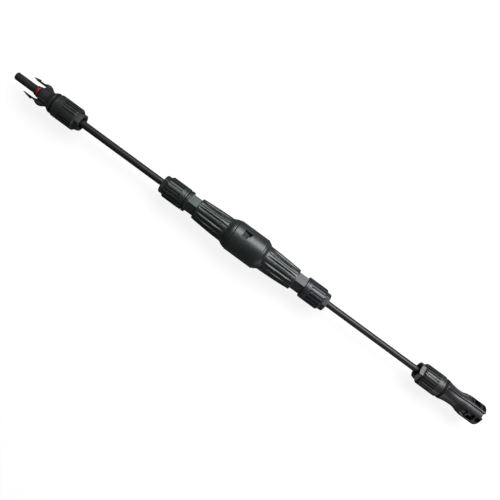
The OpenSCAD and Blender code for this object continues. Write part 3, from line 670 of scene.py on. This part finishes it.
def plastic(n, colour, roughness, tint=(1, 1, 1, 1)):
    """Moulded black plastic: fine spark-eroded grain, cloudy sheen, and convex edges lightened, partly as rubbed
    wear and partly as a painted highlight.
    """
    cloud = n.noise(140, 4)
    fleck = n.noise(2600, 2)
    edge = n.remap(n.add("ShaderNodeNewGeometry").outputs["Pointiness"], 0.52, 0.62, 0, 0.5)
    # convex edges are lightened towards 1.8 times the colour: partly rubbed wear, partly a painted highlight
    wear_and_edge_highlight = n.maths("MULTIPLY", edge, n.remap(n.noise(900, 5), 0.35, 0.7, 0.2, 1))
    base = n.mix(cloud, tone(colour, 0.26), tone(colour, 0.42))
    base = n.mix(n.remap(fleck, 0.55, 0.75, 0, 0.35), base, tone(colour, 0.8))
    base = n.mix(wear_and_edge_highlight, base, tone(colour, 1.8))
    n.set("Base Color", base)
    rough = n.maths("ADD", n.remap(cloud, 0.3, 0.7, roughness - 0.05, roughness + 0.07),
                    n.remap(fleck, 0.3, 0.7, -0.03, 0.05))
    n.set("Roughness", rough)
    n.set("Specular IOR Level", 0.5)
    n.set("Specular Tint", tint)
    fine = n.maths("MULTIPLY", n.noise(3200, 3), 0.7)
    broad = n.maths("MULTIPLY", n.noise(700, 2), 0.5)
    n.bump(n.maths("ADD", fine, broad), 0.35, 0.00006)


def rubber(n, colour, roughness, spec=0.4, grain=0.00004, drawn=False):
    """Soft rubber with bloom; drawn adds the fine lines of an extruded sheath."""
    cloud = n.noise(220, 4)
    n.set("Base Color", n.mix(cloud, tone(colour, 0.3), tone(colour, 0.5)))
    n.set("Roughness", n.remap(n.noise(1500, 3), 0.3, 0.7, roughness - 0.06, roughness + 0.06))
    n.set("Specular IOR Level", spec)
    height = n.noise(1800, 3)
    if drawn:
        stretch = n.add("ShaderNodeMapping", {"Vector": n.where, "Scale": (30, 1800, 1800)}).outputs["Vector"]
        height = n.maths("ADD", n.maths("MULTIPLY", height, 0.5), n.noise(1.0, 3, vector=stretch))
    n.bump(height, 0.3, grain)


def metal(n, colour, roughness, brushed=0.0):
    """Plated or drawn metal with fine marks and a little tarnish."""
    cloud = n.noise(160, 5)
    n.set("Metallic", 1.0)
    n.set("Base Color", n.mix(n.remap(cloud, 0.35, 0.75, 0, 1), tone(colour, 1.0), tone(colour, 0.72)))
    vector = n.where
    if brushed:
        vector = n.add("ShaderNodeMapping", {"Vector": n.where, "Scale": (1, 40, 40)}).outputs["Vector"]
    marks = n.noise(300, 4, vector=vector)
    n.set("Roughness", n.remap(marks, 0.3, 0.7, roughness - 0.06, roughness + 0.1))
    n.bump(marks, 0.15 + brushed, 0.00002)


def ceramic(n, colour):
    """Glazed white ceramic with a thin coat."""
    cloud = n.noise(90, 4)
    n.set("Base Color", n.mix(cloud, tone(colour, 0.93), tone(colour, 1.04)))
    n.set("Roughness", n.remap(n.noise(700, 3), 0.3, 0.7, 0.17, 0.30))
    n.set("Coat Weight", 0.35)
    n.bump(n.noise(400, 3), 0.2, 0.00002)


def sand(n, colour):
    """Quartz grains."""
    cells = n.add("ShaderNodeTexVoronoi", {"Vector": n.where, "Scale": 3200.0})
    n.set("Base Color", n.mix(cells.outputs["Distance"], tone(colour, 1.15), tone(colour, 0.6)))
    n.set("Roughness", 0.85)
    n.bump(cells.outputs["Distance"], 0.8, 0.0001)


# The sheen's tint, which differs a little from half to half
GREENISH, BLUISH = (0.92, 1.0, 0.97, 1), (0.92, 0.94, 1.0, 1)

RECIPES = {
    "holder_plastic": lambda n, c: plastic(n, c, 0.36, (0.95, 0.97, 1.0, 1)),
    "plug_plastic": lambda n, c: plastic(n, c, 0.38, GREENISH),
    # painted shade: the plug plastic darkened to 0.6 with dim reflections, so the tongues in the latch windows
    # look dark
    "latch_plastic": lambda n, c: plastic(n, tone(c, 0.6), 0.45, (0.25, 0.27, 0.26, 1)),
    "holder_nut_plastic": lambda n, c: plastic(n, c, 0.34, BLUISH),
    "plug_nut_plastic": lambda n, c: plastic(n, c, 0.36, GREENISH),
    "socket_coupler_plastic": lambda n, c: plastic(n, tone(c, 1.2), 0.36, (0.93, 0.93, 1.0, 1)),
    "finger_plastic": lambda n, c: plastic(n, c, 0.36),
    "pin_coupler_plastic": lambda n, c: plastic(n, c, 0.38, (0.85, 0.85, 0.88, 1)),
    "coupler_nut_plastic": lambda n, c: plastic(n, c, 0.38),
    "collet_plastic": lambda n, c: plastic(n, c, 0.5),
    "black_rubber": lambda n, c: rubber(n, c, 0.75, spec=0.15),
    "red_silicone": lambda n, c: rubber(n, tone(c, 0.6), 0.5, spec=0.2),
    "cable_sheath": lambda n, c: rubber(n, c, 0.42, 0.32, 0.00005, drawn=True),
    "cable_insulation": lambda n, c: rubber(n, c, 0.5),
    "tinned_copper": lambda n, c: metal(n, c, 0.36),
    "ceramic": ceramic,
    "quartz_sand": sand,
    "silver": lambda n, c: metal(n, c, 0.3, 0.2),
    "nickel_plate": lambda n, c: metal(n, c, 0.26, 0.2),
    "tin_plate": lambda n, c: metal(n, c, 0.34, 0.1),
    "spring_steel": lambda n, c: metal(n, c, 0.3, 0.3),
    "beryllium_copper": lambda n, c: metal(n, c, 0.28, 0.1),
}


def material(slot, colour_slot=None):
    """The material of a slot, made once; colour_slot lends its colour to a finish with no slot of its own."""
    if slot not in made_materials:
        mat = bpy.data.materials.new(slot)
        n = Nodes(mat)
        colour = SLOTS[colour_slot or slot]["base_color"]
        RECIPES[slot](n, colour)
        mat.diffuse_color = tone(colour, 1)
        made_materials[slot] = mat
    return made_materials[slot]


def paint(obj, slot, colour_slot=None):
    mat = material(slot, colour_slot)
    if obj.data.materials:
        for i in range(len(obj.data.materials)):
            obj.data.materials[i] = mat
    else:
        obj.data.materials.append(mat)


def place(obj, body, slot, *replaced):
    """Puts a finished piece on its body, in its material, in place of CAD nodes."""
    paint(obj, slot)
    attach(obj, body)
    if replaced:
        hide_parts(*replaced)
    return obj


# ---- Build ----

place(socket_half(), "socket_half", "holder_plastic", "socket_half_body")
place(plug_half(), "plug_half", "plug_plastic", "plug_half_body")
place(nut("holder_nut_shell", HOLDER_GLAND, 1, NUT_LEN, NUT_R, 4.6, 18, rad(3), rad(7), bumps=(rad(-17),)),
      "holder_nut", "holder_nut_plastic", "holder_gland_nut")
place(nut("plug_nut_shell", -PLUG_GLAND, -1, NUT_LEN, NUT_R, 4.6, 18, rad(0), rad(-2.5), bumps=(rad(0.5),)),
      "plug_nut", "plug_nut_plastic", "plug_gland_nut")
place(nut("socket_nut_shell", SOCKET_X, 1, SOCKET_NUT_LEN, SOCKET_NUT_R, 6.0, 24, rad(7.5), rad(-12.7 + 30),
          plain=((rad(-35), rad(4)),), bumps=(rad(14), rad(-37.5))),
      "socket_nut", "coupler_nut_plastic", "socket_gland_nut")
place(nut("pin_nut_shell", PIN_X, -1, NUT_LEN, NUT_R, 5.6, 24, rad(0), rad(-9 + 30), bumps=(rad(15),)),
      "pin_nut", "coupler_nut_plastic", "pin_gland_nut")
place(socket_coupler(), "socket_coupler", "socket_coupler_plastic", "socket_coupler_body")
place(pin_coupler(), "pin_coupler", "pin_coupler_plastic", "pin_coupler_body")
place(finger("finger_left_blade", -1), "finger_left", "finger_plastic", "locking_finger_left")
place(finger("finger_right_blade", 1), "finger_right", "finger_plastic", "locking_finger_right")
place(gland_ring("socket_ring", SOCKET_X, -1), "socket_coupler", "black_rubber", "socket_gland_ring")
place(gland_ring("pin_ring", PIN_X, 1), "pin_coupler", "black_rubber", "pin_gland_ring")
place(o_ring("probe_seal", SOCKET_X - 17.87, 4.04, 0.95, 0.7), "socket_coupler", "red_silicone",
      "probe_o_ring")
place(o_ring("holder_seal", 6.3, 10.02, 0.7, 0.7), "plug_half", "black_rubber", "holder_o_ring")

left_near, left_far = (JOINTS[j]["pos_m"][0] / MM for j in ("left_cable_bend", "left_cable_bend_far"))
right_near, right_far = (JOINTS[j]["pos_m"][0] / MM for j in ("right_cable_bend", "right_cable_bend_far"))
cable("left", -PLUG_GLAND, left_near, left_far, SOCKET_X, "plug_half", "left_cable", "socket_coupler", 0.17)
cable("right", HOLDER_GLAND, right_near, right_far, PIN_X, "socket_half", "right_cable", "pin_coupler", -0.1)

for sub in frame["record"]["subparts"]:
    paint(NODES[sub["node"]], sub["material_slot"])
# the tongues seen through the latch windows get a darker copy of the plug plastic as painted shade
for tongue in ("latch_tongue_upper", "latch_tongue_lower"):
    paint(NODES[tongue], "latch_plastic", "plug_plastic")

# ---- Floor, light and camera ----

VIEW_TURN = rad(36.33)
CAMERA_HEIGHT = 0.437
FLOOR_Z = -0.0137

FLOOR_HALF = 6
corners = [(x * FLOOR_HALF, y * FLOOR_HALF, FLOOR_Z) for x, y in ((-1, -1), (1, -1), (1, 1), (-1, 1))]
floor = mesh_object("floor", corners, [(0, 1, 2, 3)])
floor_mat = bpy.data.materials.new("floor")
n = Nodes(floor_mat)
grain = n.noise(35, 3)
n.set("Base Color", n.mix(grain, (0.11, 0.11, 0.11, 1), (0.13, 0.13, 0.13, 1)))
n.set("Roughness", 0.9)
n.set("Specular IOR Level", 0.1)
seen = n.add("ShaderNodeLightPath").outputs["Is Camera Ray"]
n.set("Emission Color", (1, 1, 1, 1))
n.set("Emission Strength", n.maths("MULTIPLY", seen, 0.88))
floor.data.materials.append(floor_mat)

world = bpy.data.worlds.new("studio")
bpy.context.scene.world = world
world.use_nodes = True
tree = world.node_tree
background = tree.nodes["Background"]
background.inputs["Color"].default_value = (1, 1, 1, 1)
path = tree.nodes.new("ShaderNodeLightPath")
level = tree.nodes.new("ShaderNodeMapRange")
level.inputs["To Min"].default_value = 0.085
level.inputs["To Max"].default_value = 0.95
tree.links.new(path.outputs["Is Camera Ray"], level.inputs["Value"])
tree.links.new(level.outputs["Result"], background.inputs["Strength"])

right_axis = Vector((math.cos(VIEW_TURN), math.sin(VIEW_TURN), 0))
up_axis = Vector((-math.sin(VIEW_TURN), math.cos(VIEW_TURN), 0))


def soft_light(name, right, up, height, size, watts):
    light = bpy.data.lights.new(name, "AREA")
    light.shape = "RECTANGLE"
    light.size, light.size_y = size
    light.energy = watts
    obj = bpy.data.objects.new(name, light)
    obj.location = right_axis * right + up_axis * up + Vector((0, 0, height))
    obj.rotation_euler = (-obj.location).to_track_quat("-Z", "Y").to_euler()
    bpy.context.scene.collection.objects.link(obj)
    return obj


soft_light("key", 0.49, 0.325, 0.60, (1.0, 0.55), 18)
soft_light("rim", 0.1, -0.80, 0.12, (0.9, 0.12), 1.2)

camera_data = bpy.data.cameras.new("camera")
camera_data.sensor_width = 36
camera_data.angle = 2 * math.atan(200 / 437)
camera_data.clip_start = 0.01
camera = bpy.data.objects.new("camera", camera_data)
camera.location = right_axis * 0.0032 - up_axis * 0.0048 + Vector((0, 0, CAMERA_HEIGHT))
camera.rotation_euler = (0, 0, VIEW_TURN)
bpy.context.scene.collection.objects.link(camera)
bpy.context.scene.camera = camera
bpy.context.scene.view_settings.view_transform = "Standard"

bpy.context.view_layer.update()
